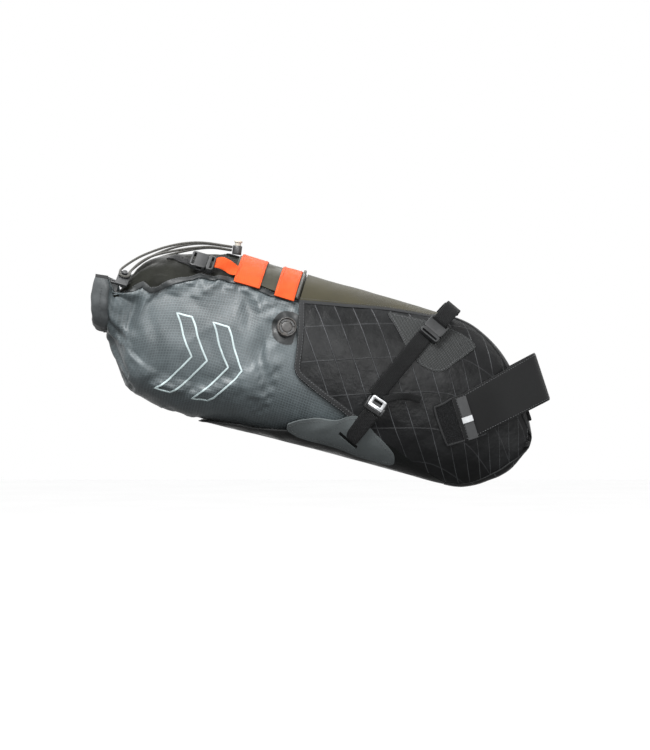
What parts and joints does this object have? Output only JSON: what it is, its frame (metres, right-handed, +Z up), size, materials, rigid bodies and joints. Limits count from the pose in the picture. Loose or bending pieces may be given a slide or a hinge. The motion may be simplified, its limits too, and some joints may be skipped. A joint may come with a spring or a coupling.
{
  "type": "bicycle seat bag",
  "caption": "Roll-top dry bag held nose-down in a stiff holster under a bicycle saddle, strapped to the seat post and both saddle rails.",
  "frame": {"origin": "on the seat post's axis, at the middle of the strap that wraps it", "axes": "+X forwards along the bicycle, +Y to the bicycle's left, +Z up; the bag's own axis points 16 degrees nose-down"},
  "size_m": [0.5644, 0.1874, 0.3052],
  "materials": {
    "olive_fabric": "matte, fine weave",
    "glossy_panel": "glossy coated",
    "laminate": "satin laminate with crossing yarns",
    "stiff_sheet": "satin",
    "orange_webbing": "woven",
    "cord": "braided",
    "binding_tape": "woven",
    "grey_patch": "matte, coarse weave",
    "wing_fabric": "matte coated",
    "black_webbing": "woven",
    "black_plastic": "satin moulded",
    "silver_metal": "satin cast",
    "strap_fabric": "matte, napped",
    "ripstop": "satin coated ripstop",
    "top_fabric": "smooth coated",
    "seal_rubber": "matte",
    "grey_plastic": "satin moulded"
  },
  "bodies": {
    "holster": {"base_stiffener": "stiff_sheet", "cam_buckle_body_left": "black_plastic", "cam_buckle_body_right": "black_plastic", "compression_strap_left": "black_webbing", "compression_strap_right": "black_webbing", "compression_wing_left": "wing_fabric", "compression_wing_right": "wing_fabric", "cross_cord": "cord", "harness_band_front": "orange_webbing", "harness_band_rear": "orange_webbing", "harness_panel": "olive_fabric", "holster_bottom_panel": "glossy_panel", "holster_nose_panel": "laminate", "holster_piping_left": "binding_tape", "holster_piping_right": "binding_tape", "holster_side_panel_left": "laminate", "holster_side_panel_right": "laminate", "holster_top_panel": "olive_fabric", "loop_patch": "strap_fabric", "lower_strap_loop_left": "black_webbing", "lower_strap_loop_right": "black_webbing", "nose_stiffener": "stiff_sheet", "rail_buckle_socket_left": "black_plastic", "rail_buckle_socket_right": "black_plastic", "rail_loop_left": "black_webbing", "rail_loop_right": "black_webbing", "rail_patch_left": "grey_patch", "rail_patch_right": "grey_patch", "seatpost_pad": "grey_patch", "seatpost_strap": "strap_fabric", "shoulder_buckle_prongs_left": "black_plastic", "shoulder_buckle_prongs_right": "black_plastic", "shoulder_strap_left": "orange_webbing", "shoulder_strap_right": "orange_webbing"},
    "dry_bag": {"bungee_left": "cord", "bungee_right": "cord", "cord_lock_anchor": "black_webbing", "cord_lock_barrel": "black_plastic", "cord_lock_spring": "silver_metal", "dry_bag_shell": "ripstop", "dry_bag_top_panel": "top_fabric", "shoulder_buckle_socket_left": "black_plastic", "shoulder_buckle_socket_right": "black_plastic", "shoulder_tab_left": "black_webbing", "shoulder_tab_right": "black_webbing", "valve_base": "black_plastic", "valve_seal": "seal_rubber"},
    "roll_top": {"roll_clip_left": "black_plastic", "roll_clip_right": "black_plastic", "roll_strip": "stiff_sheet", "rolled_collar": "ripstop"},
    "valve_cap": {"valve_cap": "black_plastic"},
    "cord_lock_button": {"cord_lock_button": "grey_plastic"},
    "cam_lever_right": {"cam_lever_right": "silver_metal"},
    "cam_lever_left": {"cam_lever_left": "silver_metal"},
    "seatpost_flap": {"seatpost_flap": "strap_fabric", "flap_pull_tab": "grey_patch"},
    "rail_prongs_right": {"rail_buckle_prongs_right": "black_plastic"},
    "rail_prongs_left": {"rail_buckle_prongs_left": "black_plastic"}
  },
  "joints": [
    {"name": "dry_bag_slide", "type": "slide", "parent": "holster", "child": "dry_bag", "axis": [-0.9613, 0, 0.2756], "range_m": [0, 0.34]},
    {"name": "roll_top_hinge", "type": "hinge", "parent": "dry_bag", "child": "roll_top", "pos_m": [-0.52002, 0, 0.05341], "axis": [0, -1, 0], "range_deg": [0, 75], "stiffness_Nm_per_rad": 0.3, "springref_deg": -22.92, "deforming": ["bungee_right", "bungee_left"]},
    {"name": "valve_cap_twist", "type": "hinge", "parent": "dry_bag", "child": "valve_cap", "pos_m": [-0.30013, -0.08614, 0.06349], "axis": [0.0951, -0.9808, 0.1704], "range_deg": [0, 90]},
    {"name": "cord_lock_press", "type": "slide", "parent": "dry_bag", "child": "cord_lock_button", "axis": [-0.1392, 0, -0.9903], "range_m": [0, 0.0035], "stiffness_N_per_m": 800, "springref_m": -0.002, "deforming": ["cord_lock_spring"]},
    {"name": "seatpost_flap_peel", "type": "hinge", "parent": "holster", "child": "seatpost_flap", "pos_m": [0.0156, 0, 0.00507], "axis": [-0.309, 0, 0.9511], "range_deg": [0, 100]},
    {"name": "cam_lever_right_lift", "type": "hinge", "parent": "holster", "child": "cam_lever_right", "pos_m": [-0.19412, -0.08258, -0.03323], "axis": [0.8147, 0.1852, -0.5495], "range_deg": [0, 75]},
    {"name": "rail_buckle_right_release", "type": "slide", "parent": "holster", "child": "rail_prongs_right", "axis": [-0.5737, -0.5113, -0.6398], "range_m": [0, 0.014]},
    {"name": "cam_lever_left_lift", "type": "hinge", "parent": "holster", "child": "cam_lever_left", "pos_m": [-0.19412, 0.08258, -0.03323], "axis": [-0.8147, 0.1852, 0.5495], "range_deg": [0, 75]},
    {"name": "rail_buckle_left_release", "type": "slide", "parent": "holster", "child": "rail_prongs_left", "axis": [-0.5737, 0.5113, -0.6398], "range_m": [0, 0.014]}
  ]
}
